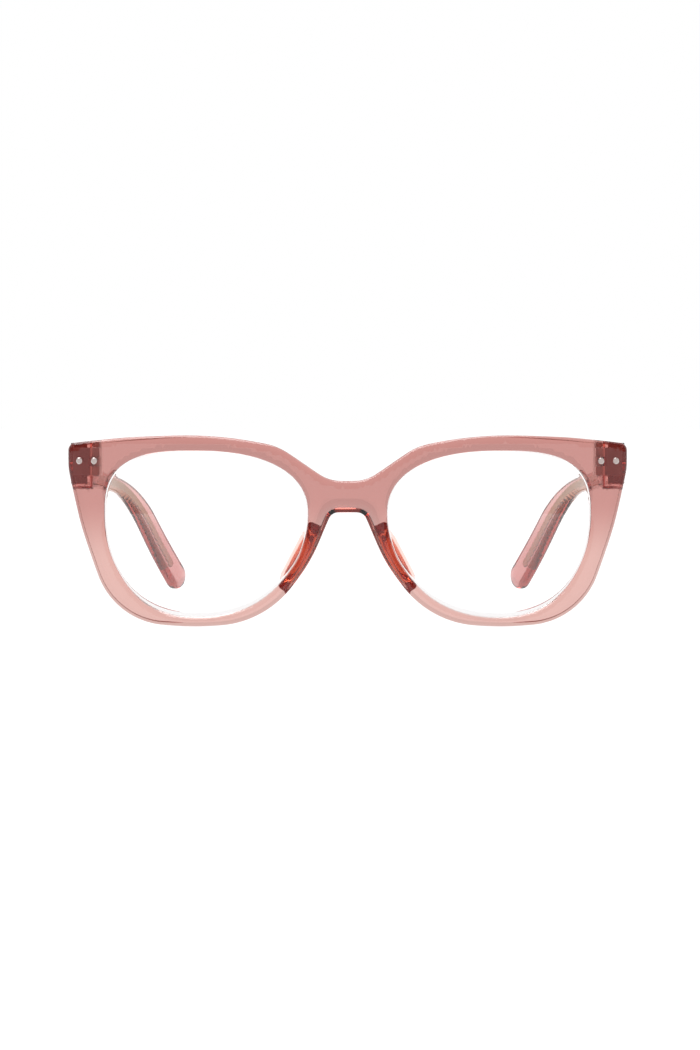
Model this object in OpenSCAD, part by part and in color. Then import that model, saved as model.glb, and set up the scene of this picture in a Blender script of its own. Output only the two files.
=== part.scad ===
// Full-rim acetate eyeglasses with clear blue-light filter lenses, temples open.
// +Z is up, the front faces -Y and +X is the wearer's left.
// The origin is the bridge saddle: the middle of the bridge's underside, on the front face.
// Each paired part is drawn on the wearer's left, and the right one is its mirror image.

/* [Front] */
// Width of the front over both endpieces
front_w = 141.2; // [139:0.2:144]
// Height of the front from the lower rims to the brow
front_h = 48; // [47:0.1:49]
// Thickness of the acetate sheet that the front is cut from
rim_t = 4; // [3.8:0.1:4.4]
// Radius that the front is bowed to, seen from above
wrap_r = 350; // [340:5:380]
// Depth behind the bridge at which both endpieces are milled flat
endpiece_y = 11.2; // [11:0.1:12]

/* [Lenses] */
// Width of a lens opening
opening_w = 51.4; // [50.4:0.2:52]
// Height of a lens opening
opening_h = 41; // [40.4:0.1:41.2]
// Distance between the two lens openings
bridge_w = 19.8; // [19.4:0.1:20.4]
// Thickness of a lens
lens_t = 2; // [1.8:0.1:2.2]
// Radius of a lens's middle surface
lens_r = 265; // [240:5:300]
// Depth of the groove that holds a lens
groove_d = 0.6; // [0.5:0.1:0.7]

/* [Temples] */
// Height of a temple where it meets the front
temple_root_h = 10.5; // [10:0.5:11]
// Height of a temple where the ear bend starts
temple_bend_h = 4.4; // [4.2:0.2:6]
// Height of a temple's paddle tip
temple_tip_h = 7.6; // [7:0.2:8.4]
// Thickness of a temple at the hinge
temple_root_t = 4.65; // [4.5:0.05:4.8]
// Thickness of a temple at the ear bend
temple_bend_t = 2.6; // [2.5:0.1:3.2]
// Thickness of a temple at its tip
temple_tip_t = 3.2; // [3:0.1:3.6]
// Depth behind the bridge at which the ear bend starts
bend_y = 85; // [80:1:90]
// Radius of the ear bend
bend_r = 50; // [45:1:55]
// Angle of the tip below the horizontal, in degrees
hook_angle = 43; // [40:1:46]
// Length of the straight tip after the ear bend
tail_l = 22.6; // [21:0.2:25]
// Radius of the inward bow that the rear half follows, seen from above
bow_r = 195; // [180:5:230]

/* [Hinges] */
// Radius of the hinge knuckles
knuckle_r = 1.5; // [1.4:0.05:1.6]
// Height of the whole hinge
hinge_h = 7; // [6.6:0.1:7.4]
// Radius of the hinge screw's shank
screw_r = 0.7; // [0.65:0.05:0.75]
// Outer radius of the nylon bush in the middle knuckle
bush_r = 1.05; // [1:0.05:1.1]
// Radius of a rivet where it passes through acetate
rivet_r = 0.85; // [0.75:0.05:0.9]

/* [Hidden] */

// Gaps
slide_gap = 0.03;            // between a part and the pocket that holds it
pin_gap = 0.03;              // between the screw's shank and its bores
knuckle_gap = 0.04;          // between neighbouring knuckles
butt_gap = 0.1;              // between an open temple and the endpiece

// Round parts
fine = 256;                  // facets of the large bowed surfaces
round_fn = 48;               // facets of pins, bores and knuckles
reach = 200;                 // longer than the whole object, for cutting shapes

// Front
outline_w = 141.2;           // width at which the outline's corners are drawn
outline_h = 48;              // height at which the outline's corners are drawn
arc_step = 4;                // degrees between two points of a rounded corner
endpiece_x = front_w / 2 - 11.7;
endpiece_z = [6.4, 19];
endpiece_ramp = 2.5;         // width of the slope from the rim's back up to the endpiece

// Corners of the front's +X half in x and z, each with the radius that rounds it
outline_corners = [
    [4.6, 7.9, 10],          // bridge top, where it starts to rise
    [17.4, 16.6, 16],        // inner end of the brow
    [33, 19.65, 98],         // highest stretch of the brow
    [56, 18.8, 110],         // brow, where it starts to fall
    [70.6, 17.2, 1.9],       // endpiece, upper corner
    [70.6, 10.8, 15],        // endpiece, lower corner
    [67.4, -3.8, 80],        // outer rim
    [59, -27.6, 19],         // lower outer corner
    [39, -29, 75],           // lowest stretch of the rim
    [20.6, -27.7, 25],       // lower nasal corner
    [9.2, -12.2, 40],        // nasal rim
    [4, 0, 2.5]              // bridge underside
];

// The lens opening has a quarter of a superellipse in each corner. Its highest and lowest
// points lie a little towards the temple and its widest level a little above the middle.
opening_lean = 0.1;          // fraction of the half width
opening_rise = 0.22;         // fraction of the half height
upper_power = [2.35, 2.9];   // squareness of the upper corners, nasal and temporal
lower_power = [2.05, 2.2];   // squareness of the lower corners
lens_x = (bridge_w + opening_w) / 2;
lens_z = -5.1;
lens_bulge = 0.5;            // how far the lens's middle stands in front of its groove
lens_angle = asin(lens_x / wrap_r);
bevel_w = 0.8;               // width of the ridge round the lens's edge
groove_w = 1;

// Nose pads
pad_top = [6, -3.8];         // upper end of the pad's inner edge, in x and z
pad_end = [14.8, -20.6];     // lower end
pad_lean = atan((pad_end.x - pad_top.x) / (pad_top.y - pad_end.y));
pad_l = norm(pad_end - pad_top);
pad_depth = 8.6;             // how far a pad stands out behind the rim
pad_base_t = 3.2;            // thickness of a pad where it is glued to the rim
pad_edge_t = 1.8;            // thickness near its free edge
pad_flare = 14;              // outward slope of a pad towards the face, in degrees
pad_sink = 1;                // how far the pad is drawn into the rim before it is trimmed
pad_steps = 24;

// Hinges, on the wearer's left
hinge_x = front_w / 2 - 7.1;
hinge_y = endpiece_y + 1.7;
hinge_z = 12.6;
butt_y = endpiece_y + butt_gap;
knuckle_h = hinge_h / 3;
plate_t = 0.95;              // thickness of both hinge plates
front_plate_x = [hinge_x + 1.8, front_w / 2 - 1.4];
front_neck_w = 2;
rivet_tail_r = 0.52;         // radius of a rivet where it passes through a hinge plate
front_rivet_x = hinge_x + 4.1;
front_rivet_z = hinge_z + 0.2;
front_pin_x = hinge_x + 0.3;
front_pin_l = 2.6;           // length of the blind pin in the acetate
rivet_proud = 0.12;          // how far the front rivets stand out of the front face
rivet_chamfer = 0.15;
screw_head_r = 1.25;
screw_head_h = 0.6;
screw_slot_w = 0.35;
screw_tip_l = 0.3;           // how far the screw's end stands out below the hinge

// Temples, on the wearer's left
temple_x = front_w / 2 - 0.35;           // flat outer face
temple_z = 12.1;                         // middle of the temple at the hinge
temple_drop = 5.6;                       // downward slope of the straight part, in degrees
taper_y = 30;                            // where the temple starts to get thinner
bow_y = 50;                              // where the inward bow starts
straight_l = (bend_y - butt_y) / cos(temple_drop);
bend_l = bend_r * (hook_angle - temple_drop) * PI / 180;
path_l = straight_l + bend_l + tail_l;
path_step = 2.5;                         // spacing of the temple's sections
tip_y = bend_y + bend_r * (sin(hook_angle) - sin(temple_drop)) + tail_l * cos(hook_angle);
cap_steps = 10;
plate_proud = 0.5;                       // how far the hinge plate stands out of the temple
temple_plate_x = temple_x - temple_root_t - plate_proud;
temple_plate_end = 14.7;                 // length of the plate along the temple
temple_plate_start = 0.8;
temple_plate_tail_h = 4.4;
temple_rivet_s = [6, 11];                // places of the temple's rivets along its middle line
rivet_button_r = 0.9;
rivet_button_h = 0.25;

// Core wire
wire_h = 2;
wire_t = 1.2;
wire_start = 17;                         // distance of the wire's front end from the hinge
wire_end = 5;                            // distance of its other end from the tip's centre

// ---- Curves ----

function smooth(t) = let (u = min(max(t, 0), 1)) u * u * (3 - 2 * u);
function blend(a, b, t) = a + (b - a) * t;

// Arc of radius r that rounds the corner b between its neighbours a and c
function rounded_corner(a, b, c, r) =
    let (
        u = (a - b) / norm(a - b),
        v = (c - b) / norm(c - b),
        half = acos(u * v) / 2,
        centre = b + (u + v) / norm(u + v) * r / sin(half),
        turn = (90 - half) * sign(u.y * v.x - u.x * v.y),
        middle = atan2(b.y - centre.y, b.x - centre.x),
        count = ceil(abs(turn) * 2 / arc_step)
    )
    [
        for (k = [0:count])
            let (angle = middle + turn * (2 * k / count - 1))
            centre + r * [cos(angle), sin(angle)]
    ];

// Closed outline through corners that are lists of x, y and radius
function rounded_outline(corners) =
    let (
        n = len(corners),
        places = [for (c = corners) [c.x, c.y]]
    )
    [
        for (i = [0:n - 1])
            each rounded_corner(places[(i + n - 1) % n], places[i], places[(i + 1) % n], corners[i].z)
    ];

// Outward unit normal at point i of a closed clockwise curve
function normal(points, i) =
    let (
        n = len(points),
        along = points[(i + 1) % n] - points[(i + n - 1) % n]
    )
    [-along.y, along.x] / norm(along);

function grow(points, d) = [for (i = [0:len(points) - 1]) points[i] + d * normal(points, i)];

function reversed(list) = [for (i = [len(list) - 1:-1:0]) list[i]];

front_half = [
    for (c = outline_corners)
        [c.x * front_w / outline_w, c.y * front_h / outline_h, c.z]
];
front_outline = rounded_outline(
    concat(front_half, reversed([for (c = front_half) [-c.x, c.y, c.z]]))
);

// Point of the opening at an angle, in fractions of its half width and half height
function opening_point(angle) =
    let (
        c = cos(angle),
        s = sin(angle),
        power = (s < 0 ? lower_power : upper_power)[c < 0 ? 0 : 1]
    )
    [
        opening_lean + (sign(c) - opening_lean) * pow(abs(c), 2 / power),
        opening_rise + (sign(s) - opening_rise) * pow(abs(s), 2 / power)
    ];

opening_outline = [
    for (angle = [90:-arc_step:arc_step - 270])
        let (p = opening_point(angle))
        [lens_x + p.x * opening_w / 2, lens_z + p.y * opening_h / 2]
];

// Depth of the bowed front face at x
function wrap_y(x) = wrap_r - sqrt(wrap_r * wrap_r - x * x);

// ---- The temple's middle line, s millimetres from the butt end ----

function path_angle(s) = temple_drop + min(max(s - straight_l, 0), bend_l) / bend_r * 180 / PI;

function path_point(s) =
    let (
        a = path_angle(s),
        run = min(s, straight_l),
        tail = max(s - straight_l - bend_l, 0)
    )
    [
        butt_y + run * cos(temple_drop) + bend_r * (sin(a) - sin(temple_drop)) + tail * cos(a),
        temple_z - run * sin(temple_drop) - bend_r * (cos(temple_drop) - cos(a)) - tail * sin(a)
    ];

function path_up(s) = [sin(path_angle(s)), cos(path_angle(s))];

function temple_height(s) =
    s < straight_l
        ? blend(temple_root_h, temple_bend_h, smooth(s / straight_l))
        : blend(temple_bend_h, temple_tip_h, smooth((s - straight_l) / bend_l));

// Outer face and thickness of the temple at depth y
function temple_face(y) = temple_x - bow_r + sqrt(pow(bow_r, 2) - pow(max(y - bow_y, 0), 2));
function temple_thickness(y) =
    y < bend_y
        ? blend(temple_root_t, temple_bend_t, smooth((y - taper_y) / (bend_y - taper_y)))
        : blend(temple_bend_t, temple_tip_t, smooth((y - bend_y) / (tip_y - bend_y)));
function temple_middle(y) = temple_face(y) - temple_thickness(y) / 2;

// ---- Shared solids ----

// Upright prism along Y from an outline in x and z
module front_prism(points) {
    translate([0, reach / 2, 0])
        rotate([90, 0, 0])
            linear_extrude(height = reach)
                polygon(points);
}

// Prism along X from an outline in y and z, between two values of x
module side_prism(points, from_x, to_x) {
    translate([from_x, 0, 0])
        rotate([90, 0, 90])
            linear_extrude(height = to_x - from_x)
                polygon(points);
}

// Prism along Z from an outline in x and y
module plan_prism(points) {
    translate([0, 0, -reach / 2])
        linear_extrude(height = reach)
            polygon(points);
}

// Round bar along Z between two heights
module bar(r, from_z, to_z) {
    translate([0, 0, from_z])
        cylinder(r = r, h = to_z - from_z, $fn = round_fn);
}

// Box between two corners
module box(low, high) {
    translate(low)
        cube(high - low);
}

module bowed_cylinder(r) {
    translate([0, wrap_r, -reach / 2])
        cylinder(r = r, h = reach, $fn = fine);
}

// Shell of the lens's sphere, t thick, cut to an outline
module lens_shell(points, t) {
    middle_r = wrap_r - rim_t / 2 + lens_bulge - lens_r;
    intersection() {
        front_prism(points);
        translate([middle_r * sin(lens_angle), wrap_r - middle_r * cos(lens_angle), lens_z])
            difference() {
                sphere(r = lens_r + t / 2, $fn = fine);
                sphere(r = lens_r - t / 2, $fn = fine);
            }
    }
}

// ---- Front ----

module endpiece_block() {
    intersection() {
        plan_prism([
            [endpiece_x, 0],
            [endpiece_x, endpiece_y - 2],
            [endpiece_x + endpiece_ramp, endpiece_y],
            [front_w, endpiece_y],
            [front_w, 0]
        ]);
        box([0, -reach, endpiece_z[0]], [reach, reach, endpiece_z[1]]);
    }
}

module front_blank() {
    intersection() {
        front_prism(front_outline);
        bowed_cylinder(wrap_r);
        union() {
            difference() {
                box([-reach, -reach, -reach], [reach, endpiece_y, reach]);
                bowed_cylinder(wrap_r - rim_t);
            }
            endpiece_block();
            mirror([1, 0, 0])
                endpiece_block();
        }
    }
}

// The front leaf's plate and both its necks up to depth back_y, grown by a gap
module front_plate(gap, back_y) {
    box(
        [front_plate_x[0] - gap, endpiece_y - plate_t - gap, hinge_z - hinge_h / 2 - gap],
        [front_plate_x[1] + gap, back_y, hinge_z + hinge_h / 2 + gap]
    );
    for (level = [-1, 1])
        box(
            [hinge_x - front_neck_w / 2 - gap, endpiece_y - plate_t - gap, knuckle_low(level) - gap],
            [front_plate_x[0], back_y, knuckle_high(level) + gap]
        );
}

module front_hole(x, r, to_y) {
    translate([x, 0, front_rivet_z])
        rotate([-90, 0, 0])
            bar(r, 0, to_y);
}

module front_cuts() {
    front_prism(opening_outline);
    lens_shell(grow(opening_outline, groove_d), groove_w);
    front_plate(slide_gap, reach);
    front_hole(front_rivet_x, rivet_r + slide_gap, endpiece_y);
    front_hole(front_pin_x, rivet_r + slide_gap, wrap_y(front_pin_x) + front_pin_l + slide_gap);
}

module front_frame() {
    color([0.8, 0.58, 0.54, 0.75])
        difference() {
            front_blank();
            front_cuts();
            mirror([1, 0, 0])
                front_cuts();
        }
}

module lens() {
    color([0.93, 0.97, 0.97, 0.25])
        union() {
            lens_shell(grow(opening_outline, -slide_gap), lens_t);
            lens_shell(grow(opening_outline, groove_d - slide_gap), bevel_w);
        }
}

module left_lens() {
    lens();
}

module right_lens() {
    mirror([1, 0, 0])
        lens();
}

// A pad is a rounded fin along the nasal rim, flared outwards and glued to the rim's back
module nose_pad() {
    middle = (pad_top + pad_end) / 2;
    back = rim_t - pad_sink;
    full = pad_depth + pad_sink;
    fin = [
        for (k = [0:pad_steps])
            let (a = 180 * k / pad_steps)
            [back + full * pow(sin(a), 0.75), pad_l / 2 * cos(a)]
    ];
    shift = tan(pad_flare) * full;
    section = [
        [0, back],
        [pad_base_t, back],
        [pad_edge_t + shift, back + full - pad_edge_t],
        [pad_edge_t * 0.75 + shift, back + full],
        [pad_edge_t * 0.25 + shift, back + full],
        [shift * 0.45, back + full * 0.6]
    ];
    color([0.86, 0.66, 0.62, 0.6])
        intersection() {
            bowed_cylinder(wrap_r - rim_t - slide_gap);
            translate([middle.x, 0, middle.y])
                rotate([0, -pad_lean, 0])
                    intersection() {
                        plan_prism(section);
                        side_prism(fin, -reach / 2, reach / 2);
                    }
        }
}

module left_nose_pad() {
    nose_pad();
}

module right_nose_pad() {
    mirror([1, 0, 0])
        nose_pad();
}

// ---- Hinges ----

// Knuckle at level -1 (lower), 0 (middle) or 1 (upper)
function knuckle_low(level) = hinge_z + (level - 0.5) * knuckle_h + knuckle_gap / 2;
function knuckle_high(level) = hinge_z + (level + 0.5) * knuckle_h - knuckle_gap / 2;

module front_knuckle(level) {
    translate([hinge_x, hinge_y, 0])
        bar(knuckle_r, knuckle_low(level), knuckle_high(level));
    box(
        [hinge_x - front_neck_w / 2, endpiece_y - plate_t, knuckle_low(level)],
        [hinge_x + front_neck_w / 2, hinge_y, knuckle_high(level)]
    );
}

module front_hinge_leaf() {
    color([0.8, 0.8, 0.82])
        difference() {
            union() {
                front_plate(0, endpiece_y);
                front_knuckle(-1);
                front_knuckle(1);
            }
            translate([hinge_x, hinge_y, 0])
                bar(screw_r + pin_gap, hinge_z - hinge_h, hinge_z + hinge_h);
            front_hole(front_rivet_x, rivet_tail_r + slide_gap, endpiece_y + plate_t);
        }
}

module left_front_hinge_leaf() {
    front_hinge_leaf();
}

module right_front_hinge_leaf() {
    mirror([1, 0, 0])
        front_hinge_leaf();
}

// Rivet along +Z: a body from its chamfered end at z = 0, then a thin tail
module rivet(body_l, thin_l) {
    rotate_extrude($fn = round_fn)
        polygon([
            [0, 0],
            [rivet_r - rivet_chamfer, 0],
            [rivet_r, rivet_chamfer],
            [rivet_r, body_l],
            [rivet_tail_r, body_l],
            [rivet_tail_r, body_l + thin_l],
            [0, body_l + thin_l]
        ]);
}

module at_front(x) {
    translate([x, wrap_y(x) - rivet_proud, front_rivet_z])
        rotate([-90, 0, 0])
            children();
}

// The rivet that holds the hinge leaf, and a short pin beside it that matches its head
module front_rivets() {
    body_l = endpiece_y - plate_t - slide_gap - wrap_y(front_rivet_x) + rivet_proud;
    color([0.85, 0.85, 0.86]) {
        at_front(front_rivet_x)
            rivet(body_l, plate_t);
        at_front(front_pin_x)
            rotate_extrude($fn = round_fn)
                polygon([
                    [0, 0],
                    [rivet_r - rivet_chamfer, 0],
                    [rivet_r, rivet_chamfer],
                    [rivet_r, rivet_proud + front_pin_l],
                    [0, rivet_proud + front_pin_l]
                ]);
    }
}

module left_front_rivets() {
    front_rivets();
}

module right_front_rivets() {
    mirror([1, 0, 0])
        front_rivets();
}

module hinge_screw() {
    head_z = hinge_z + hinge_h / 2;
    color([0.72, 0.72, 0.74])
        translate([hinge_x, hinge_y, 0])
            difference() {
                union() {
                    bar(screw_r, hinge_z - hinge_h / 2 - screw_tip_l, head_z);
                    bar(screw_head_r, head_z, head_z + screw_head_h);
                }
                box(
                    [-screw_head_r * 2, -screw_slot_w / 2, head_z + screw_head_h / 2],
                    [screw_head_r * 2, screw_slot_w / 2, head_z + screw_head_h * 2]
                );
            }
}

module left_hinge_screw() {
    hinge_screw();
}

module right_hinge_screw() {
    mirror([1, 0, 0])
        hinge_screw();
}

module hinge_bush() {
    color([0.95, 0.95, 0.93])
        translate([hinge_x, hinge_y, 0])
            difference() {
                bar(bush_r, knuckle_low(0), knuckle_high(0));
                bar(screw_r + pin_gap, hinge_z - hinge_h, hinge_z + hinge_h);
            }
}

module left_hinge_bush() {
    hinge_bush();
}

module right_hinge_bush() {
    mirror([1, 0, 0])
        hinge_bush();
}

// ---- Temples ----

// Outline of the temple's hinge plate in y and z, grown by a gap
module temple_plate(gap) {
    start_y = butt_y + temple_plate_start - gap;
    tail_y = path_point(temple_plate_end).x + gap;
    tail_z = path_point(temple_plate_end).y;
    half = hinge_h / 2 + gap;
    tail_half = temple_plate_tail_h / 2 + gap;
    side_prism(
        [
            [start_y, hinge_z - half],
            [hinge_y + knuckle_r, hinge_z - half],
            [tail_y - tail_half / 2, tail_z - tail_half],
            [tail_y, tail_z - tail_half / 2],
            [tail_y, tail_z + tail_half / 2],
            [tail_y - tail_half / 2, tail_z + tail_half],
            [hinge_y + knuckle_r, hinge_z + half],
            [start_y, hinge_z + half]
        ],
        temple_plate_x - gap,
        temple_plate_x + plate_t + gap
    );
}

module temple_rivet_holes(r, from_x, to_x) {
    for (s = temple_rivet_s)
        translate([0, path_point(s).x, path_point(s).y])
            rotate([0, 90, 0])
                bar(r, from_x, to_x);
}

module temple_hinge_leaf() {
    color([0.8, 0.8, 0.82])
        difference() {
            union() {
                temple_plate(0);
                translate([hinge_x, hinge_y, 0])
                    bar(knuckle_r, knuckle_low(0), knuckle_high(0));
                box(
                    [hinge_x, hinge_y - 1, knuckle_low(0)],
                    [temple_plate_x + plate_t / 2, hinge_y + 1, knuckle_high(0)]
                );
            }
            translate([hinge_x, hinge_y, 0])
                bar(bush_r + slide_gap, hinge_z - hinge_h, hinge_z + hinge_h);
            temple_rivet_holes(rivet_tail_r + slide_gap, hinge_x, temple_x);
        }
}

module left_temple_hinge_leaf() {
    temple_hinge_leaf();
}

module right_temple_hinge_leaf() {
    mirror([1, 0, 0])
        temple_hinge_leaf();
}

module temple_rivets() {
    color([0.85, 0.85, 0.86])
        for (s = temple_rivet_s)
            translate([temple_x - slide_gap, path_point(s).x, path_point(s).y])
                rotate([0, -90, 0]) {
                    rivet(temple_root_t + plate_proud - plate_t - 2 * slide_gap, plate_t + 2 * slide_gap);
                    bar(
                        rivet_button_r,
                        temple_root_t + plate_proud,
                        temple_root_t + plate_proud + rivet_button_h
                    );
                }
}

module left_temple_rivets() {
    temple_rivets();
}

module right_temple_rivets() {
    mirror([1, 0, 0])
        temple_rivets();
}

// Line that runs a given height above the temple's middle line, between two stations
function ribbon_edge(from_s, to_s, up) =
    let (count = ceil((to_s - from_s) / path_step))
    [
        for (i = [0:count])
            let (s = blend(from_s, to_s, i / count))
            path_point(s) + up * path_up(s)
    ];

// Side view of the temple, with a rounded tip
function temple_side() =
    let (
        count = ceil(path_l / path_step),
        stations = [for (i = [0:count]) blend(-2, path_l, i / count)],
        tip_r = temple_tip_h / 2
    )
    concat(
        [for (s = stations) path_point(s) + temple_height(s) / 2 * path_up(s)],
        [
            for (i = [1:cap_steps - 1])
                let (a = 90 - 180 * i / cap_steps - hook_angle)
                path_point(path_l) + tip_r * [cos(a), sin(a)]
        ],
        reversed([for (s = stations) path_point(s) - temple_height(s) / 2 * path_up(s)])
    );

// Top view of a strip along the temple's middle: half its thickness is half_t at each depth
function strip_plan(depths, half_t) =
    concat(
        [for (i = [0:len(depths) - 1]) [temple_middle(depths[i]) + half_t[i], depths[i]]],
        reversed([for (i = [0:len(depths) - 1]) [temple_middle(depths[i]) - half_t[i], depths[i]]])
    );

function depths_between(from_y, to_y) =
    let (count = ceil((to_y - from_y) / path_step))
    [for (i = [0:count]) blend(from_y, to_y, i / count)];

module temple_blank() {
    depths = concat([butt_y], depths_between(taper_y, tip_y + temple_tip_h));
    intersection() {
        side_prism(temple_side(), 0, front_w);
        plan_prism(strip_plan(depths, [for (y = depths) temple_thickness(y) / 2]));
    }
}

// The core wire, grown by a gap
module wire(gap) {
    from_s = wire_start - gap;
    to_s = path_l - wire_end + gap;
    depths = depths_between(path_point(from_s).x - 1, tip_y);
    intersection() {
        side_prism(
            concat(
                ribbon_edge(from_s, to_s, wire_h / 2 + gap),
                reversed(ribbon_edge(from_s, to_s, -wire_h / 2 - gap))
            ),
            0,
            front_w
        );
        plan_prism(strip_plan(depths, [for (y = depths) wire_t / 2 + gap]));
    }
}

module temple() {
    color([0.72, 0.45, 0.43, 0.75])
        difference() {
            temple_blank();
            temple_plate(slide_gap);
            temple_rivet_holes(rivet_r + slide_gap, hinge_x, temple_x + 1);
            wire(slide_gap);
        }
}

module left_temple() {
    temple();
}

module right_temple() {
    mirror([1, 0, 0])
        temple();
}

module core_wire() {
    color([0.75, 0.66, 0.52])
        wire(0);
}

module left_core_wire() {
    core_wire();
}

module right_core_wire() {
    mirror([1, 0, 0])
        core_wire();
}

front_frame();
left_lens();
right_lens();
left_nose_pad();
right_nose_pad();
left_front_hinge_leaf();
right_front_hinge_leaf();
left_front_rivets();
right_front_rivets();
left_hinge_screw();
right_hinge_screw();
left_hinge_bush();
right_hinge_bush();
left_temple();
right_temple();
left_core_wire();
right_core_wire();
left_temple_hinge_leaf();
right_temple_hinge_leaf();
left_temple_rivets();
right_temple_rivets();
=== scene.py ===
"""Looks for a pair of acetate glasses: smooth translucent parts built round the CAD frame, in metres."""

import math

import bpy
import bmesh
import numpy as np
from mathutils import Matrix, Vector
from mathutils.bvhtree import BVHTree
from mathutils.geometry import delaunay_2d_cdt


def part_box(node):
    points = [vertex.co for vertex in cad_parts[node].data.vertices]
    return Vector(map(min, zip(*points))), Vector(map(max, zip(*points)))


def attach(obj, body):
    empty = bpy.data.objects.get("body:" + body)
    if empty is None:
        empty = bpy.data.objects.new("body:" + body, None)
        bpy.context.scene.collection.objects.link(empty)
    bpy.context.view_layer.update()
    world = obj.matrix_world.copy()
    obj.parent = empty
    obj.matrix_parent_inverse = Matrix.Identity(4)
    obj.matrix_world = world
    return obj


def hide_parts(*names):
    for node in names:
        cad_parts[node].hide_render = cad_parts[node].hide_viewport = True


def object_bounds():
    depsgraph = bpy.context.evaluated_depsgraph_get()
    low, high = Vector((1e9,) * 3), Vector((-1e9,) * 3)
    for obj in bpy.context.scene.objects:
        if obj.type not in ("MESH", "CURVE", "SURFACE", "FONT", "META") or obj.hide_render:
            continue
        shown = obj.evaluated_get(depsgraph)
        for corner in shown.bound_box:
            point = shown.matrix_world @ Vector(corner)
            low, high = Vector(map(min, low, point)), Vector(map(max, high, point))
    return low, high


MM = 0.001

# Reading the CAD
WELD = 1e-6                    # corners closer than this are one
FACING = 0.85                  # cosine above which a face looks along a direction
TURNED = 0.4                   # cosine below which it has turned away
SHORTEST = 0.02 * MM           # shorter edges of an outline are dropped
STRAIGHT = 0.002               # sine of the turn below which an outline runs straight
RAY_START = 50 * MM            # how far outside a part the long rays start
LENS_RAY_START = 10 * MM
LENS_SAMPLE = 0.3              # share of a lens sampled each way from its middle
BRIDGE_Z = 4 * MM              # height at which the sheet's thickness is measured
BOW_FROM = 30 * MM             # how far out the front's bow is measured
FACE_DEPTH = 1 * MM            # a loop that comes nearer than this lies on the front face
BUTT_Y = 12.5 * MM             # depth at which the temple's lower edge is measured
BUTT_INSET = 1 * MM            # and how far inside its outer face

# Meshing
OUTLINE_STEP = 0.6 * MM        # spacing of points along an outline
FILL_STEP = 1.1 * MM           # spacing of points inside a flat face
WALL_STEP = 0.35 * MM          # spacing of points along a block's walls
WALL_SPREAD = np.linspace(-1.25, 0.25, 7)    # where rows of points cross a wall, in widths of its ramp
ROUND_STEPS = 6                # faces across a rounded edge
EDGE_CLEAR = 0.4 * OUTLINE_STEP    # inner points keep this far from the outline
BLUR_REACH = 3 * MM            # width of the blur that smooths a broken line
BLUR_STEP = 0.5 * MM
SHARP = math.radians(35)       # edges that turn by more stay sharp

# Edges of the front
RIM_ROUND = 1.15 * MM
RIM_BACK_ROUND = 1.0 * MM
SIDE_BACK_ROUND = 0.6 * MM     # the back's edge along the outer rims
BLOCK_BACK_ROUND = 0.4 * MM
NOSE_ROUND = 0.5 * MM          # where the front rests on the nose
NOSE_BACK_ROUND = 3.3 * MM
OPENING_ROUND = 1.0 * MM       # front edges of the lens openings
OPENING_BACK_ROUND = 0.5 * MM
MIN_LAND = 0.5 * MM            # flat left between two rounded back edges
RIM_SHARE = 0.4                # most of a rim's width that its front edge may take
OPENING_SHARE = 0.35

# Zones of the front's outline, each with the width over which it fades in
NOSE_X, NOSE_X_FADE = 17 * MM, 5 * MM
NOSE_Z, NOSE_Z_FADE = 4 * MM, 3 * MM
SIDE_X, SIDE_X_FADE = 58 * MM, 6 * MM
SIDE_DROP, SIDE_Z_FADE = 2 * MM, 3 * MM
BLOCK_DROP, BLOCK_FADE = 1 * MM, 2 * MM

# The block behind each endpiece
BLOCK_W = 5.7 * MM
BLOCK_RAMP = 0.7 * MM          # slope from the rim's back up to the block
BLOCK_UNDER = 0.3 * MM         # how far it reaches below the temple
PLATE_PROUD = 0.06 * MM        # how far the front hinge plate stands out of the acetate
PLATE_X = 64.8 * MM            # where the hinge plates' dark painted shade ends and the bright knuckles start

# Lenses
LENS_EDGE = 0.12 * MM
LENS_FRONT_EDGE = 0.35 * MM
LENS_BEVEL = 1.0 * MM          # bevel that shows along a lens's lower edge
BEVEL_FROM = 0.35              # how far down, as a sine, it starts
LENS_GAP = 0.05 * MM

# Temples, core wires and pads
TEMPLE_ROUND = 1.35 * MM
BUTT_ROUND = 0.2 * MM          # the crisp end that meets the front
BUTT_FADE = 4 * MM
WIRE_ROUND = 0.08 * MM
NOTCH_DEPTH = 0.22 * MM
NOTCH_PITCH = 2.4 * MM
PAD_VOXEL = 0.3 * MM
PAD_RUBS = 24
LEAF_BEVEL = 0.12 * MM
SCREW_BEVEL = 0.1 * MM

# Acetate
ACETATE_IOR = 1.48
ACETATE_ROUGHNESS = 0.02
ABSORB_HEADROOM = 1.1          # density over the strongest absorption, which keeps the colour above 0
TINT_LOW = -13 * MM            # heights between which the colour changes: darker at the front's top, as painted shade, and darker and redder towards the temples' low tips
TINT_HIGH = 3 * MM
PAINTED_GLOW_COLOUR = (1, 0.09, 0.07, 1)    # painted glow, in the dark red of light scattered inside thick acetate
PAINTED_GLOW_FROM = (64.5 * MM, 6 * MM)    # side x and height z past which the front has painted glow
MASK_FADE = 0.1 * MM           # half the width over which a colour changes at a plane

# Metal
GRAIN_SHADE = 0.88             # brightness of the grain's dark parts

# Studio
FLOOR_HALF = 6.0
FLOOR_LIGHT = 1.04
DARK_SIDE = (0.38, 0.17, 0.15)    # the camera's side of the studio, as seen in the acetate
LIGHT_BOUNCES = 24

# Camera: a long lens a little above the glasses, looking straight at the front
VIEW_DISTANCE = 0.70
VIEW_HEIGHT = 0.0264           # above the bridge saddle
VIEW_WIDTH = 0.175             # width of the picture at the front
VIEW_CENTRE = (0.0006, -0.0031)    # x and z at the middle of the picture
PICTURE_ASPECT = 1050 / 700
SENSOR = 36.0


# ---- Reading shapes from the CAD nodes ----

def welded(node):
    """The node's mesh with its split vertices joined."""
    mesh = bmesh.new()
    mesh.from_mesh(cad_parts[node].data)
    bmesh.ops.remove_doubles(mesh, verts=mesh.verts, dist=WELD)
    mesh.normal_update()
    return mesh


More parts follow.
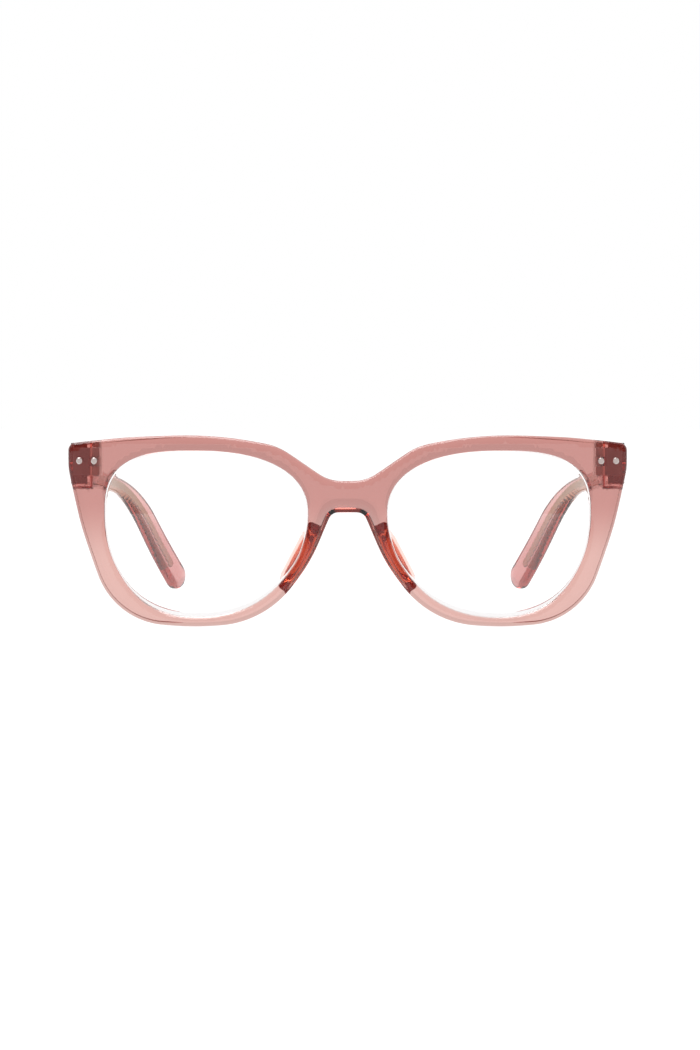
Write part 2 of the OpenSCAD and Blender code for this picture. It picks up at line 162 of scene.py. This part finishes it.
def face_loops(node, facing):
    """Closed 3-D outlines of the node's face that looks along facing, longest first."""
    mesh = welded(node)
    facing = Vector(facing)
    links = {}
    for edge in mesh.edges:
        if len(edge.link_faces) != 2:
            continue
        turned = sorted(face.normal.dot(facing) for face in edge.link_faces)
        if turned[1] > FACING and turned[0] < TURNED:
            a, b = edge.verts
            links.setdefault(a.index, []).append(b.index)
            links.setdefault(b.index, []).append(a.index)
    mesh.verts.ensure_lookup_table()
    places = {i: np.array(mesh.verts[i].co) for i in links}
    mesh.free()
    loops = []
    left = set(links)
    while left:
        start = min(left)
        left.discard(start)
        chain = [start]
        while True:
            onward = [i for i in links[chain[-1]] if i in left]
            if not onward:
                break
            chain.append(onward[0])
            left.discard(onward[0])
        loops.append(np.array([places[i] for i in chain]))
    loops.sort(key=lambda loop: -loop_length(loop))
    return loops


def loop_length(loop):
    return np.linalg.norm(np.roll(loop, -1, 0) - loop, axis=1).sum()


def ray_depths(node, starts, direction):
    """Distance along direction from each start to the node's surface."""
    mesh = welded(node)
    tree = BVHTree.FromBMesh(mesh)
    mesh.free()
    return np.array([tree.ray_cast(Vector(s), Vector(direction))[3] for s in starts])


# ---- Curves in the plane ----

def corners_only(loop):
    """Drops points that lie on a straight stretch between their neighbours."""
    keep = np.linalg.norm(np.roll(loop, -1, 0) - loop, axis=1) > SHORTEST
    loop = loop[keep]
    before = loop - np.roll(loop, 1, 0)
    after = np.roll(loop, -1, 0) - loop
    turn = before[:, 0] * after[:, 1] - before[:, 1] * after[:, 0]
    turn /= np.linalg.norm(before, axis=1) * np.linalg.norm(after, axis=1)
    return loop[np.abs(turn) > STRAIGHT]


def smooth_loop(points, step):
    """Closed cubic spline through the points, resampled about every step."""
    count = len(points)
    gap = np.linalg.norm(np.roll(points, -1, 0) - points, axis=1)
    before = np.roll(gap, 1)
    system = np.zeros((count, count))
    for i in range(count):
        system[i, i - 1] += before[i]
        system[i, i] += 2 * (before[i] + gap[i])
        system[i, (i + 1) % count] += gap[i]
    slope = (np.roll(points, -1, 0) - points) / gap[:, None]
    bend = np.linalg.solve(system, 6 * (slope - np.roll(slope, 1, 0)))
    total = gap.sum()
    place = np.arange(round(total / step)) * total / round(total / step)
    ends = np.concatenate([[0], np.cumsum(gap)])
    part = np.clip(np.searchsorted(ends, place, side="right") - 1, 0, count - 1)
    along = (place - ends[part])[:, None]
    span = gap[part][:, None]
    onward = (part + 1) % count
    rest = span - along
    return (
        (bend[part] * rest**3 + bend[onward] * along**3) / (6 * span)
        + (points[part] / span - bend[part] * span / 6) * rest
        + (points[onward] / span - bend[onward] * span / 6) * along
    )


def even_loop(points, step):
    """The closed broken line through the points, resampled about every step."""
    gap = np.linalg.norm(np.roll(points, -1, 0) - points, axis=1)
    ends = np.concatenate([[0], np.cumsum(gap)])
    count = round(ends[-1] / step)
    place = np.arange(count) * ends[-1] / count
    closed = np.vstack([points, points[:1]])
    return np.column_stack([np.interp(place, ends, closed[:, k]) for k in (0, 1)])


def fitted(loop, low, high):
    """The loop scaled to a node's box in x and z, since a spline can swing past its points."""
    low, high = np.array([low.x, low.z]), np.array([high.x, high.z])
    least, most = loop.min(0), loop.max(0)
    return low + (loop - least) * (high - low) / (most - least)


def area(loop):
    ahead = np.roll(loop, -1, 0)
    return (loop[:, 0] * ahead[:, 1] - ahead[:, 0] * loop[:, 1]).sum() / 2


def wound(loop, anticlockwise):
    return loop if (area(loop) > 0) == anticlockwise else loop[::-1]


def left_normals(loop):
    """Unit vectors to the left of the loop's direction, which is the material's side."""
    along = np.roll(loop, -1, 0) - np.roll(loop, 1, 0)
    along /= np.linalg.norm(along, axis=1)[:, None]
    return np.stack([-along[:, 1], along[:, 0]], 1)


def gap_to(points, others):
    """Distance from each point to the nearest of the others."""
    return np.array([math.sqrt(((others - p) ** 2).sum(1).min()) for p in points])


def inside(points, loops):
    """Which points lie in the material, by counting crossings with every loop."""
    result = np.zeros(len(points), bool)
    for loop in loops:
        ahead = np.roll(loop, -1, 0)
        for (ax, ay), (bx, by) in zip(loop, ahead):
            if ay == by:
                continue
            spans = (points[:, 1] >= min(ay, by)) & (points[:, 1] < max(ay, by))
            result ^= spans & (points[:, 0] < ax + (points[:, 1] - ay) * (bx - ax) / (by - ay))
    return result


def smooth_step(value):
    value = np.clip(value, 0, 1)
    return value * value * (3 - 2 * value)


def smooth_function(xs, ys):
    """A smooth function through a broken line of (x, y) points."""
    order = np.argsort(xs)
    grid = np.arange(xs.min(), xs.max() + BLUR_STEP, BLUR_STEP)
    values = np.interp(grid, xs[order], ys[order])
    width = int(3 * BLUR_REACH / BLUR_STEP)
    kernel = np.exp(-0.5 * (np.arange(-width, width + 1) * BLUR_STEP / BLUR_REACH) ** 2)
    padded = np.pad(values, width, mode="reflect", reflect_type="odd")
    values = np.convolve(padded, kernel / kernel.sum(), mode="valid")
    return lambda x: np.interp(x, grid, values)


# ---- Sheet parts: an outline with two faces and rounded edges ----

class Sheet:
    """A closed part between two height fields over a flat outline with holes."""

    def __init__(self, near, far):
        self.near = near
        self.far = far
        self.points = []
        self.faces = []

    def add_ring(self, flat, height):
        first = len(self.points)
        self.points.extend(np.column_stack([flat, height]).tolist())
        return np.arange(first, first + len(flat))

    def join(self, rings):
        for low, high in zip(rings, rings[1:]):
            for i in range(len(low)):
                k = (i + 1) % len(low)
                self.faces.append((low[i], low[k], high[k], high[i]))

    def edge_band(self, loop, near_round, far_round):
        """Rounded near edge, straight wall and rounded far edge along one loop."""
        normals = left_normals(loop)
        near_round = np.broadcast_to(near_round, len(loop))
        far_round = np.broadcast_to(far_round, len(loop))
        angles = np.linspace(0, math.pi / 2, ROUND_STEPS + 1)
        rings = []
        for angle in angles[::-1]:
            flat = loop + normals * (near_round * (1 - math.cos(angle)))[:, None]
            rings.append(self.add_ring(flat, self.near(flat) + near_round * (1 - math.sin(angle))))
        for angle in angles:
            flat = loop + normals * (far_round * (1 - math.cos(angle)))[:, None]
            rings.append(self.add_ring(flat, self.far(flat) - far_round * (1 - math.sin(angle))))
        self.join(rings)
        return rings[0], rings[-1]

    def fill(self, rings, height, flip, fixed=()):
        """Triangles between the given rings, over evenly spaced points and the fixed ones."""
        borders = [np.array([self.points[i][:2] for i in ring]) for ring in rings]
        edge_points = np.concatenate(borders)
        low, high = edge_points.min(0), edge_points.max(0)
        rows = np.arange(low[1], high[1], FILL_STEP * math.sqrt(3) / 2)
        spread = np.array([
            [x + (FILL_STEP / 2 if k % 2 else 0), y]
            for k, y in enumerate(rows)
            for x in np.arange(low[0], high[0], FILL_STEP)
        ])
        if len(fixed):
            spread = spread[gap_to(spread, fixed) > FILL_STEP / 2]
            spread = np.concatenate([spread, fixed])
        spread = spread[inside(spread, borders)]
        spread = spread[gap_to(spread, edge_points) > EDGE_CLEAR]
        added = self.add_ring(spread, height(spread))
        index = np.concatenate(rings + [added])
        every = np.concatenate([edge_points, spread])
        edges = []
        first = 0
        for ring in rings:
            edges += [(first + i, first + (i + 1) % len(ring)) for i in range(len(ring))]
            first += len(ring)
        result = delaunay_2d_cdt([Vector(p * (1 / MM)) for p in every], edges, [], 0, WELD)
        triangles = np.array(result[2])
        origin = np.array([ids[0] for ids in result[3]])
        corners = every[origin[triangles]]
        triangles = origin[triangles[inside(corners.mean(1), borders)]]
        if flip:
            triangles = triangles[:, ::-1]
        self.faces.extend(tuple(index[t]) for t in triangles)

    def build(self, name, place, mirrored=False):
        """Makes the object; place turns (u, v, height) into x, y, z columns."""
        u, v, height = np.array(self.points).T
        spots = np.column_stack(place(u, v, height))
        if mirrored:
            spots[:, 0] *= -1
        mesh = bpy.data.meshes.new(name)
        mesh.from_pydata(spots.tolist(), [], [[int(i) for i in f] for f in self.faces])
        tidy = bmesh.new()
        tidy.from_mesh(mesh)
        bmesh.ops.recalc_face_normals(tidy, faces=tidy.faces)
        tidy.to_mesh(mesh)
        tidy.free()
        mesh.shade_smooth()
        mesh.set_sharp_from_angle(angle=SHARP)
        return linked(bpy.data.objects.new(name, mesh))


def plate(loop, near, far, near_round, far_round):
    """A sheet with one outline and no holes."""
    sheet = Sheet(near, far)
    near_ring, far_ring = sheet.edge_band(loop, near_round, far_round)
    sheet.fill([near_ring], near, False)
    sheet.fill([far_ring], far, True)
    return sheet


def linked(piece):
    bpy.context.scene.collection.objects.link(piece)
    return piece


def front_place(u, v, height):
    return u, height, v


def side_place(u, v, height):
    return height, u, v


# ---- Materials ----

class NodeTree:
    """The nodes of a new material or world, with short calls that add to them."""

    def __init__(self, owner):
        owner.use_nodes = True
        self.nodes = owner.node_tree.nodes
        self.links = owner.node_tree.links

    def plug(self, value, socket):
        """Sets an input to a number or a colour, or links another node's output to it."""
        if isinstance(value, bpy.types.NodeSocket):
            self.links.new(value, socket)
        else:
            socket.default_value = value

    def add(self, kind, inputs, **settings):
        """Adds a node with its settings and inputs."""
        node = self.nodes.new("ShaderNode" + kind)
        for name, value in settings.items():
            setattr(node, name, value)
        for name, value in inputs.items():
            self.plug(value, node.inputs[name])
        return node

    def axes(self, space):
        """Outputs for x, y and z of the coordinates in a space."""
        place = self.add("TexCoord", {}).outputs[space]
        return self.add("SeparateXYZ", {"Vector": place}).outputs

    def ramp(self, factor, low, high, ends=(0, 1)):
        """A colour that turns from low to high as the factor passes the two ends."""
        node = self.add("ValToRGB", {"Fac": factor})
        for stop, end, colour in zip(node.color_ramp.elements, ends, (low, high)):
            stop.position = end
            stop.color = (*colour, 1)
        return node.outputs["Color"]

    def math(self, operation, first, second=0.0):
        return self.add("Math", {0: first, 1: second}, operation=operation).outputs["Value"]

    def past(self, value, plane):
        """A mask that goes from 0 to 1 where the value passes the plane."""
        inputs = {"Value": value, "From Min": plane - MASK_FADE, "From Max": plane + MASK_FADE}
        return self.add("MapRange", inputs).outputs["Result"]


class Surface(NodeTree):
    """A new material with one shader."""

    def __init__(self, name):
        self.material = bpy.data.materials.new(name)
        super().__init__(self.material)
        self.shader = self.nodes["Principled BSDF"]

    def paint(self, inputs):
        for name, value in inputs.items():
            self.plug(value, self.shader.inputs[name])

    def noise(self, scale, detail=2.0):
        place = self.add("TexCoord", {}).outputs["Object"]
        return self.add("TexNoise", {"Vector": place, "Scale": scale, "Detail": detail}).outputs["Fac"]

    def bump(self, height, distance):
        bump = self.add("Bump", {"Height": height, "Distance": distance})
        self.paint({"Normal": bump.outputs["Normal"]})


def acetate_material(name, absorb, lower_tint, upper_tint, painted_glow=0.0, painted_glow_from=None):
    """Polished see-through acetate, coloured by the depth that light passes through.
    absorb is the absorption per metre of red, green and blue; the two tints colour its parts below and
    above those heights, and on the front the darker upper tint is painted shade.
    The emission strength after the tints is a painted glow, standing in for light scattered inside thick
    acetate; the argument after it keeps that past a side x and a height z."""
    surface = Surface(name)
    axes = surface.axes("Object")
    tint_range = {"Value": axes["Z"], "From Min": TINT_LOW, "From Max": TINT_HIGH}
    height = surface.add("MapRange", tint_range, interpolation_type="SMOOTHSTEP").outputs["Result"]
    # The emission is painted light: a glow standing in for light scattered inside thick acetate.
    if painted_glow_from is not None:
        aside = surface.past(surface.math("ABSOLUTE", axes["X"]), painted_glow_from[0])
        above = surface.past(axes["Z"], painted_glow_from[1])
        painted_glow = surface.math("MULTIPLY", surface.math("MULTIPLY", aside, above), painted_glow)
    surface.paint({
        "Base Color": surface.ramp(height, lower_tint, upper_tint),
        "Transmission Weight": 1.0,
        "IOR": ACETATE_IOR,
        "Roughness": ACETATE_ROUGHNESS,
        "Emission Color": PAINTED_GLOW_COLOUR,
        "Emission Strength": painted_glow,
    })
    density = max(absorb) * ABSORB_HEADROOM
    colour = [1 - a / density for a in absorb] + [1]
    depth = surface.add("VolumeAbsorption", {"Color": colour, "Density": density})
    surface.plug(depth.outputs["Volume"], surface.nodes["Material Output"].inputs["Volume"])
    surface.bump(surface.noise(90), 0.02 * MM)
    return surface.material


def lens_material():
    surface = Surface("lens_clear")
    surface.paint({
        "Base Color": (1, 1, 1, 1),
        "Transmission Weight": 1.0,
        "IOR": 1.5,
        "Roughness": 0.0,
        "Specular IOR Level": 0.3,
    })
    surface.bump(surface.noise(20), 0.002 * MM)
    return surface.material


def metal_material(name, colour, roughness, grain, inner_colour=None):
    """Fine-grained metal; inner_colour is its colour between the planes at plus and minus PLATE_X, and
    colour holds outside them, which on the hinge plates is painted shade.
    """
    surface = Surface(name)
    noise = surface.noise(grain, 4.0)
    base = surface.ramp(noise, [c * GRAIN_SHADE for c in colour], colour)
    if inner_colour is not None:
        outside = surface.past(surface.math("ABSOLUTE", surface.axes("Object")["X"]), PLATE_X)
        mix = {"Fac": outside, "Color1": (*inner_colour, 1), "Color2": base}
        base = surface.add("MixRGB", mix).outputs["Color"]
    surface.paint({"Base Color": base, "Metallic": 1.0, "Roughness": roughness})
    surface.bump(noise, 0.004 * MM)
    return surface.material


def nylon_material():
    surface = Surface("nylon")
    base = surface.ramp(surface.noise(400), (0.82, 0.82, 0.78), (0.9, 0.9, 0.86))
    surface.paint({"Base Color": base, "Roughness": 0.5})
    return surface.material


# ---- The front ----

def front_loops():
    """The front's outer outline and its two lens openings, in x and z."""
    edge, *inner = face_loops("front_frame", (0, -1, 0))
    on_face = [loop for loop in inner if loop[:, 1].min() < FACE_DEPTH]
    flats = [smooth_loop(corners_only(loop[:, [0, 2]]), OUTLINE_STEP) for loop in [edge] + on_face]
    outer = wound(flats[0], True)
    openings = sorted(flats[1:], key=lambda loop: loop[:, 0].mean())
    return fitted(outer, *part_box("front_frame")), [wound(loop, False) for loop in openings]


class FrontShape:
    """Front and back faces of the acetate front, measured on its CAD node."""

    def __init__(self):
        edge = face_loops("front_frame", (0, -1, 0))[0]
        far_out = edge[np.abs(edge[:, 0]) > BOW_FROM]
        self.bow_r = np.median((far_out[:, 0] ** 2 + far_out[:, 1] ** 2) / (2 * far_out[:, 1]))
        bridge = [(0, RAY_START, BRIDGE_Z)]
        self.sheet_t = RAY_START - ray_depths("front_frame", bridge, (0, -1, 0))[0]
        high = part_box("front_frame")[1]
        self.side_x = high.x
        self.block_x = high.x - BLOCK_W
        self.block_y = high.y - PLATE_PROUD
        under_temple = [(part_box("left_temple")[1].x - BUTT_INSET, BUTT_Y, -RAY_START)]
        self.block_z = -RAY_START + ray_depths("left_temple", under_temple, (0, 0, 1))[0] - BLOCK_UNDER

    def bowed(self, flat, radius):
        return self.bow_r - np.sqrt(radius**2 - flat[:, 0] ** 2)

    def front(self, flat):
        return self.bowed(flat, self.bow_r)

    def back(self, flat):
        """The sheet's back, which steps out to a flat block behind each endpiece."""
        sheet = self.bowed(flat, self.bow_r - self.sheet_t)
        across = smooth_step((np.abs(flat[:, 0]) - self.block_x + BLOCK_RAMP) / BLOCK_RAMP)
        up = smooth_step((flat[:, 1] - self.block_z + BLOCK_RAMP) / BLOCK_RAMP)
        return sheet + (np.maximum(self.block_y, sheet) - sheet) * across * up

    def wall_points(self, top):
        """Rows of points along the foot, slope and top of the walls of both blocks."""
        corners = [(self.block_x + d, self.block_z + d) for d in BLOCK_RAMP * WALL_SPREAD]
        up = [(x, z) for x, low in corners for z in np.arange(low, top, WALL_STEP)]
        out = [(x, z) for low, z in corners for x in np.arange(low, self.side_x, WALL_STEP)]
        return np.array([(way * x, z) for way in (-1, 1) for x, z in up + out])

    def zones(self, outer):
        """Masks along the outline: on the nose, on a block and along an outer rim."""
        x, z = np.abs(outer[:, 0]), outer[:, 1]
        nose = smooth_step((NOSE_X - x) / NOSE_X_FADE) * smooth_step((NOSE_Z - z) / NOSE_Z_FADE)
        block = smooth_step((x - self.block_x) / BLOCK_FADE)
        block *= smooth_step((z - self.block_z + BLOCK_DROP) / BLOCK_FADE)
        side = smooth_step((x - SIDE_X) / SIDE_X_FADE)
        side *= smooth_step((self.block_z - SIDE_DROP - z) / SIDE_Z_FADE)
        return nose, block, side


def widened(opening):
    """The opening grown, near its bottom only, by the lens bevel that shows in it."""
    out = opening - (opening.min(0) + opening.max(0)) / 2
    down = -out[:, 1] / np.linalg.norm(out, axis=1)
    bevel = LENS_BEVEL * smooth_step((down - BEVEL_FROM) / (1 - BEVEL_FROM))
    return opening + left_normals(opening) * bevel[:, None]


def make_front(outer, openings, shape):
    sheet = Sheet(shape.front, shape.back)
    at_nose, at_block, at_side = shape.zones(outer)
    width = gap_to(outer, np.concatenate(openings))
    back_round = RIM_BACK_ROUND + (BLOCK_BACK_ROUND - RIM_BACK_ROUND) * at_block
    back_round += (NOSE_BACK_ROUND - RIM_BACK_ROUND) * at_nose
    back_round += (SIDE_BACK_ROUND - RIM_BACK_ROUND) * at_side
    back_round = np.minimum(back_round, width - OPENING_BACK_ROUND - MIN_LAND)
    front_round = np.minimum(RIM_ROUND + (NOSE_ROUND - RIM_ROUND) * at_nose, width * RIM_SHARE)
    bands = [sheet.edge_band(outer, front_round, back_round)]
    for loop in map(widened, openings):
        opening_round = np.minimum(OPENING_ROUND, gap_to(loop, outer) * OPENING_SHARE)
        bands.append(sheet.edge_band(loop, opening_round, OPENING_BACK_ROUND))
    near_rings, far_rings = map(list, zip(*bands))
    sheet.fill(near_rings, shape.front, False)
    sheet.fill(far_rings, shape.back, True, shape.wall_points(outer[:, 1].max()))
    return sheet.build("acetate_front", front_place)


# ---- Lenses ----

def fit_sphere(points):
    """Centre and radius of the sphere nearest to the points."""
    system = np.column_stack([2 * points, np.ones(len(points))])
    answer = np.linalg.lstsq(system, (points**2).sum(1), rcond=None)[0]
    return answer[:3], math.sqrt(answer[3] + (answer[:3] ** 2).sum())


class LensSphere:
    """Front and back surfaces of a lens, fitted to its CAD node."""

    def __init__(self, node):
        low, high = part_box(node)
        middle = (low + high) / 2
        span = (high - low) * LENS_SAMPLE
        grid = [
            (middle.x + span.x * i / 3, middle.z + span.z * k / 3)
            for i in range(-3, 4) for k in range(-3, 4)
        ]
        surfaces = []
        for y, way in ((low.y - LENS_RAY_START, 1), (high.y + LENS_RAY_START, -1)):
            depth = ray_depths(node, [(x, y, z) for x, z in grid], (0, way, 0))
            surfaces.append(fit_sphere(np.array([(x, y + way * d, z) for (x, z), d in zip(grid, depth)])))
        (self.centre, self.front_r), (_, self.back_r) = surfaces

    def depth(self, flat, radius):
        across = (flat[:, 0] - self.centre[0]) ** 2 + (flat[:, 1] - self.centre[2]) ** 2
        return self.centre[1] - np.sqrt(radius**2 - across)

    def front(self, flat):
        return self.depth(flat, self.front_r)

    def back(self, flat):
        return self.depth(flat, self.back_r)


def make_lens(side, opening):
    """A lens that fills its opening. The ridge in its groove, hidden by the rim, is left out."""
    sphere = LensSphere(f"{side}_lens")
    loop = wound(widened(opening), True)
    bevel = LENS_FRONT_EDGE + np.linalg.norm(wound(opening, True) - loop, axis=1)
    loop = loop + left_normals(loop) * LENS_GAP
    lens = plate(loop, sphere.front, sphere.back, bevel, LENS_EDGE)
    return lens.build(f"clear_{side}_lens", front_place)


# ---- Temples ----

def side_profile(node):
    """A left-side node's outline in y and z, and its inner and outer x at each depth y."""
    outer = face_loops(node, (1, 0, 0))[0]
    inner = face_loops(node, (-1, 0, 0))[0]
    outline = even_loop(outer[:, [1, 2]], OUTLINE_STEP)
    inner_x = smooth_function(inner[:, 1], inner[:, 0])
    outer_x = smooth_function(outer[:, 1], outer[:, 0])
    return wound(outline, True), (lambda flat: inner_x(flat[:, 0])), (lambda flat: outer_x(flat[:, 0]))


def both_sides(sheet, name):
    """The left piece and its mirror image; the name has a gap for the side."""
    return [
        sheet.build(name.format(side), side_place, mirrored=side == "right") for side in ("left", "right")
    ]


def make_temples():
    outline, inner, outer = side_profile("left_temple")
    from_butt = smooth_step((outline[:, 0] - outline[:, 0].min()) / BUTT_FADE)
    radius = BUTT_ROUND + (TEMPLE_ROUND - BUTT_ROUND) * from_butt
    return both_sides(plate(outline, inner, outer, radius, radius), "acetate_{}_temple")


def make_core_wires():
    """Flat core strips with notched edges."""
    outline, inner, outer = side_profile("left_core_wire")
    place = np.arange(len(outline)) * OUTLINE_STEP
    notch = NOTCH_DEPTH * smooth_step(2 * np.sin(2 * math.pi * place / NOTCH_PITCH))
    outline = outline + left_normals(outline) * notch[:, None]
    return both_sides(plate(outline, inner, outer, WIRE_ROUND, WIRE_ROUND), "notched_{}_core_wire")


# ---- Nose pads ----

def make_nose_pad(side):
    """The CAD pad, remeshed fine and rubbed smooth like a tumbled pad."""
    mesh = welded(f"{side}_nose_pad")
    data = bpy.data.meshes.new(f"acetate_{side}_nose_pad")
    mesh.to_mesh(data)
    mesh.free()
    piece = linked(bpy.data.objects.new(data.name, data))
    remesh = piece.modifiers.new("fine", "REMESH")
    remesh.mode = "VOXEL"
    remesh.voxel_size = PAD_VOXEL
    rub = piece.modifiers.new("rub", "SMOOTH")
    rub.factor = 0.5
    rub.iterations = PAD_RUBS
    refine = piece.modifiers.new("refine", "SUBSURF")
    refine.levels = 1
    refine.render_levels = 1
    shaped = bpy.data.meshes.new_from_object(piece.evaluated_get(bpy.context.evaluated_depsgraph_get()))
    piece.modifiers.clear()
    piece.data = shaped
    shaped.name = piece.name
    shaped.shade_smooth()
    return piece


# ---- Pieces and their materials ----

def give(piece, material):
    piece.data.materials.clear()
    piece.data.materials.append(material)


def stand_in(piece, node, body, material):
    """Puts a piece in a CAD node's place, on its body."""
    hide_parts(node)
    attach(piece, body)
    give(piece, material)


def soften(piece, width):
    """Joins a CAD node's split faces and gives its hard edges a small bevel."""
    if "custom_normal" in piece.data.attributes:
        piece.data.attributes.remove(piece.data.attributes["custom_normal"])
    weld = piece.modifiers.new("weld", "WELD")
    weld.merge_threshold = WELD
    bevel = piece.modifiers.new("bevel", "BEVEL")
    bevel.width = width
    bevel.segments = 2
    bevel.limit_method = "ANGLE"
    bevel.angle_limit = SHARP
    bevel.harden_normals = True


# ---- Studio ----

def aim(item, place, target):
    item.location = place
    item.rotation_euler = (Vector(target) - Vector(place)).to_track_quat("-Z", "Y").to_euler()


def add_softbox():
    data = bpy.data.lights.new("top_softbox", "AREA")
    data.shape = "RECTANGLE"
    data.size, data.size_y = 0.9, 0.7
    data.energy = 8
    aim(linked(bpy.data.objects.new("top_softbox", data)), (-0.2, 0.1, 0.9), (0, 0.03, 0))


def add_floor(height):
    mesh = bpy.data.meshes.new("floor")
    corners = [(x * FLOOR_HALF, y * FLOOR_HALF, 0) for x, y in ((-1, -1), (1, -1), (1, 1), (-1, 1))]
    mesh.from_pydata(corners, [], [(0, 1, 2, 3)])
    floor = linked(bpy.data.objects.new("floor", mesh))
    floor.location.z = height
    surface = Surface("floor_pale")
    surface.paint({
        "Base Color": (0.1, 0.1, 0.1, 1),
        "Emission Color": (1, 1, 1, 1),
        "Emission Strength": FLOOR_LIGHT,
        "Roughness": 0.9,
        "Specular IOR Level": 0.0,
    })
    give(floor, surface.material)


def add_world():
    """White for the camera; for everything else a studio that is dark and warm on the camera's side."""
    world = bpy.data.worlds.new("studio")
    bpy.context.scene.world = world
    tree = NodeTree(world)
    backdrop = tree.nodes["Background"]
    backdrop.inputs["Color"].default_value = (1, 1, 1, 1)
    away = tree.add("MapRange", {"Value": tree.axes("Generated")["Y"], "From Min": -1}).outputs["Result"]
    light = tree.ramp(away, DARK_SIDE, (1, 1, 1), ends=(0.3, 0.65))
    studio = tree.add("Background", {"Color": light})
    seen = tree.add("LightPath", {}).outputs["Is Camera Ray"]
    mix = tree.add("MixShader", {
        "Fac": seen, 1: studio.outputs["Background"], 2: backdrop.outputs["Background"],
    })
    tree.plug(mix.outputs["Shader"], tree.nodes["World Output"].inputs["Surface"])


def add_camera():
    data = bpy.data.cameras.new("camera")
    data.sensor_fit = "VERTICAL"
    data.sensor_height = SENSOR
    place = Vector((VIEW_CENTRE[0], -VIEW_DISTANCE, VIEW_HEIGHT))
    target = Vector((VIEW_CENTRE[0], 0, VIEW_CENTRE[1]))
    data.lens = SENSOR * (target - place).length / (VIEW_WIDTH * PICTURE_ASPECT)
    data.clip_start = 0.01
    camera = linked(bpy.data.objects.new("camera", data))
    aim(camera, place, target)
    bpy.context.scene.camera = camera


# ---- The scene ----

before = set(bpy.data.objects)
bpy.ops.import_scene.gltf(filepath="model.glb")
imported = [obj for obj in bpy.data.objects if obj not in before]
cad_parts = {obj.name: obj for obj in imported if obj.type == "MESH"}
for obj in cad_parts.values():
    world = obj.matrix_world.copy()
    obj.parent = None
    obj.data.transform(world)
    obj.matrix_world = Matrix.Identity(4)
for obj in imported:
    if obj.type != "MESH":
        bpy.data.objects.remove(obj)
cad_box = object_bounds()

# The front's darker upper tint is painted shade; its emission is a painted glow on the block behind each
# endpiece.
acetate = acetate_material("acetate_rose", (45, 175, 200), (0.82, 0.85, 0.85), (0.65, 0.52, 0.52),
                           painted_glow=0.06, painted_glow_from=PAINTED_GLOW_FROM)
# The pads' emission is a painted glow over the whole pad.
pad_acetate = acetate_material("acetate_pad", (48, 215, 300), (1, 0.9, 0.86), (1, 0.9, 0.86), painted_glow=0.05)
temple_acetate = acetate_material("acetate_temple", (65, 230, 250), (0.75, 0.52, 0.52), (0.95, 0.95, 0.95))
lens_clear = lens_material()
nickel = metal_material("nickel_silver", (0.7, 0.68, 0.66), roughness=0.3, grain=900)
# The hinge plates' dark red-grey colour is painted shade, for the darkness seen through the thick acetate
# block; the knuckles keep bright metal.
leaf_metal_painted_shade = metal_material("hinge_plate_painted_shade", (0.32, 0.24, 0.24), roughness=0.45, grain=900,
                            inner_colour=(0.97, 0.96, 0.95))
steel = metal_material("screw_steel", (0.7, 0.7, 0.71), roughness=0.28, grain=1200)
core = metal_material("core_strip", (0.78, 0.64, 0.44), roughness=0.35, grain=700)
nylon = nylon_material()

outer, openings = front_loops()
stand_in(make_front(outer, openings, FrontShape()), "front_frame", "front", acetate)

for side, opening in zip(("right", "left"), openings):
    stand_in(make_lens(side, opening), f"{side}_lens", "front", lens_clear)
    stand_in(make_nose_pad(side), f"{side}_nose_pad", "front", pad_acetate)

for side, temple, wire in zip(("left", "right"), make_temples(), make_core_wires()):
    body = f"{side}_temple_body"
    stand_in(temple, f"{side}_temple", body, temple_acetate)
    stand_in(wire, f"{side}_core_wire", body, core)

metal_parts = (
    ("front_hinge_leaf", leaf_metal_painted_shade, LEAF_BEVEL),
    ("temple_hinge_leaf", leaf_metal_painted_shade, LEAF_BEVEL),
    ("front_rivets", nickel, LEAF_BEVEL),
    ("temple_rivets", nickel, LEAF_BEVEL),
    ("hinge_screw", steel, SCREW_BEVEL),
)
for side in ("left", "right"):
    for part, metal, width in metal_parts:
        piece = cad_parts[f"{side}_{part}"]
        give(piece, metal)
        soften(piece, width)
    give(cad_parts[f"{side}_hinge_bush"], nylon)

add_floor(cad_box[0][2])
add_world()
add_softbox()
add_camera()

scene = bpy.context.scene
scene.view_settings.view_transform = "Standard"
scene.cycles.max_bounces = LIGHT_BOUNCES
scene.cycles.transmission_bounces = LIGHT_BOUNCES
